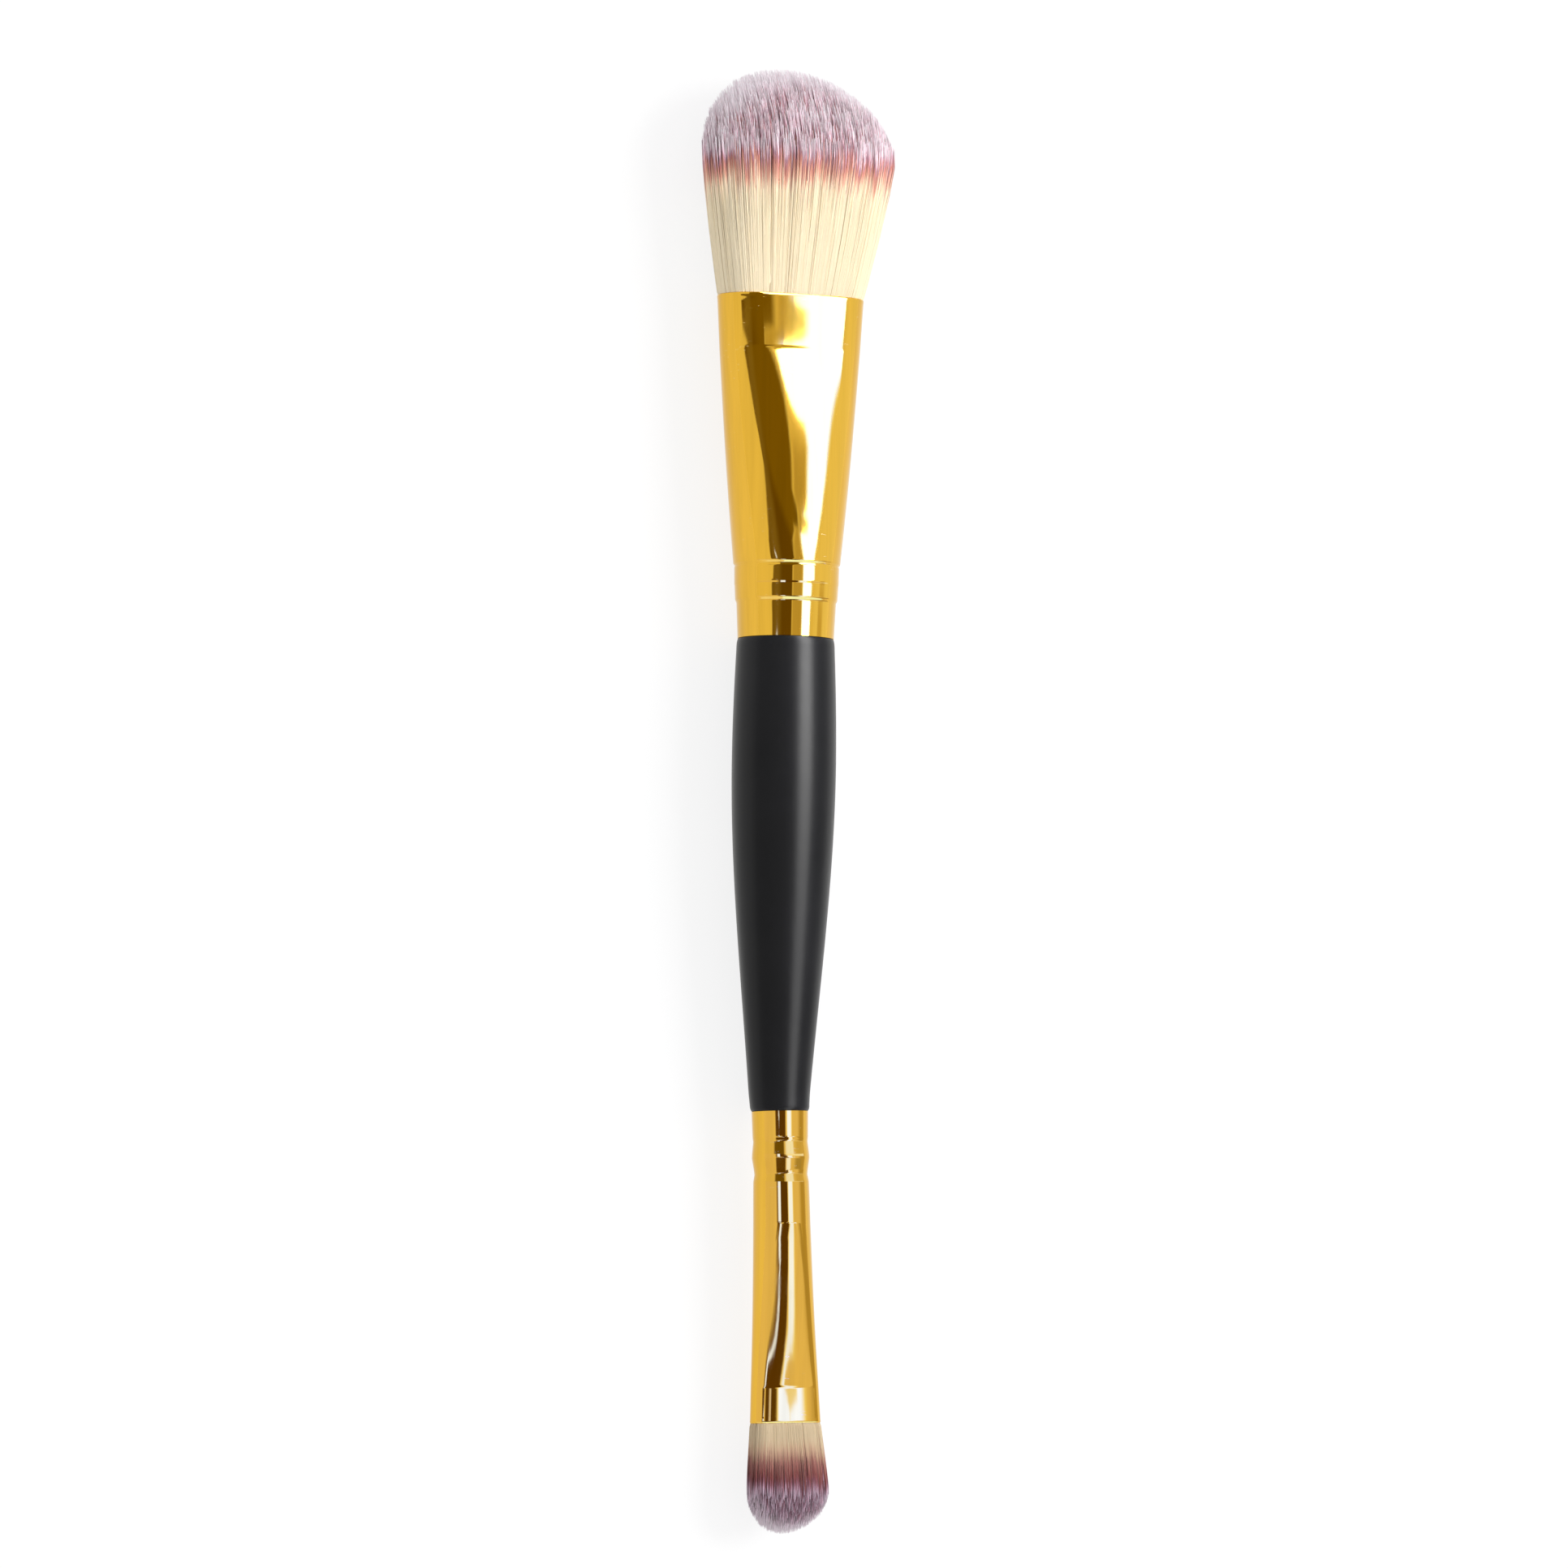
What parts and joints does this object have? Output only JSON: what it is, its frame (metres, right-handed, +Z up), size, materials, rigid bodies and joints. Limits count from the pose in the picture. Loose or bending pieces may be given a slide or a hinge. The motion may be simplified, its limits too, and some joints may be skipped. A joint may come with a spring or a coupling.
{
  "type": "double ended makeup brush",
  "caption": "Slim turned handle with a flattened metal ferrule at each end: one holds a wide domed tuft, the other a small domed tuft.",
  "frame": {"origin": "on the floor under the middle of the brush as it lies: the belly of the handle and the large tuft touch Z = 0", "axes": "+Y along the brush towards the large tuft, level with the floor, over which the handle's axis rises half a degree; +X across the width of both flattened ferrules; +Z up"},
  "size_m": [0.025, 0.1798, 0.014],
  "materials": {
    "handle_lacquer": "matt black lacquer on turned wood",
    "ferrule_gold": "mirror polished, gold plated",
    "large_hair": "soft synthetic hair, cream with plum and lilac tips",
    "small_hair": "soft synthetic hair, tan with maroon and mauve tips",
    "glue": "set epoxy, hidden"
  },
  "bodies": {
    "root": {"handle": "handle_lacquer", "large_ferrule": "ferrule_gold", "small_ferrule": "ferrule_gold", "large_tuft": "large_hair", "small_tuft": "small_hair", "large_glue_plug": "glue", "small_glue_plug": "glue"}
  },
  "joints": []
}
